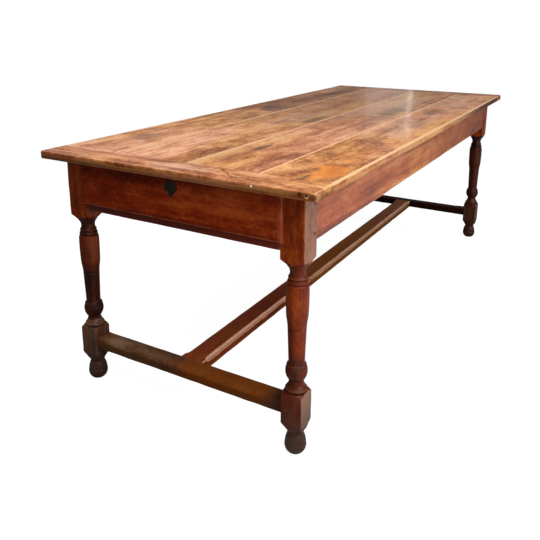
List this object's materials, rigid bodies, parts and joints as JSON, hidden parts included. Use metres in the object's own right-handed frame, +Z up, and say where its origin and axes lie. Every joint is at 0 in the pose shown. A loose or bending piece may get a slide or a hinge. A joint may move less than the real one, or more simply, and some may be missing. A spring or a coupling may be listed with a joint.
{
  "type": "farmhouse table",
  "caption": "Long farmhouse dining table: plank top with breadboard ends, turned legs with square blocks, an H stretcher and a lipped, locked drawer in one end.",
  "frame": {"origin": "on the floor, midway between the four feet and under the middle of the top", "axes": "+Z up, +X along the table away from the drawer end, +Y to the left seen from the drawer end"},
  "size_m": [2.18, 0.9, 0.76],
  "materials": {
    "top_wood": "old wax over worn cherry boards",
    "leg_wood": "dark wax polish",
    "rail_wood": "red brown wax polish",
    "stretcher_wood": "worn wax polish",
    "peg_wood": "end grain, waxed",
    "drawer_front_wood": "dark red wax polish",
    "inner_wood": "bare planed wood",
    "old_iron": "blackened wrought iron",
    "screw_iron": "dull iron"
  },
  "bodies": {
    "table": {"top_board_1": "top_wood", "top_board_2": "top_wood", "top_board_3": "top_wood", "top_board_4": "top_wood", "breadboard_front": "top_wood", "breadboard_back": "top_wood", "leg_front_left": "leg_wood", "leg_front_right": "leg_wood", "leg_back_left": "leg_wood", "leg_back_right": "leg_wood", "side_rail_left": "rail_wood", "side_rail_right": "rail_wood", "end_rail_back": "rail_wood", "drawer_rail_lower": "rail_wood", "drawer_rail_upper": "rail_wood", "stretcher_front": "stretcher_wood", "stretcher_back": "stretcher_wood", "stretcher_long": "stretcher_wood", "breadboard_pegs": "peg_wood", "frame_pegs": "peg_wood", "stretcher_pegs": "peg_wood", "drawer_runner_left": "inner_wood", "drawer_runner_right": "inner_wood", "drawer_kicker_left": "inner_wood", "drawer_kicker_right": "inner_wood", "top_buttons": "inner_wood", "button_screws": "screw_iron", "runner_screws": "screw_iron", "rail_screws": "screw_iron"},
    "drawer": {"drawer_front": "drawer_front_wood", "drawer_side_left": "inner_wood", "drawer_side_right": "inner_wood", "drawer_back": "inner_wood", "drawer_bottom_1": "inner_wood", "drawer_bottom_2": "inner_wood", "drawer_bottom_3": "inner_wood", "drawer_bottom_nails": "screw_iron", "lock_case": "old_iron", "lock_key_pin": "old_iron", "lock_screws": "screw_iron", "escutcheon": "old_iron", "escutcheon_nails": "old_iron"},
    "lock_bolt": {"lock_bolt": "old_iron"}
  },
  "joints": [
    {"name": "drawer_slide", "type": "slide", "parent": "table", "child": "drawer", "axis": [-1, 0, 0], "range_m": [0, 0.45]},
    {"name": "bolt_slide", "type": "slide", "parent": "drawer", "child": "lock_bolt", "axis": [0, 0, 1], "range_m": [0, 0.009]}
  ]
}
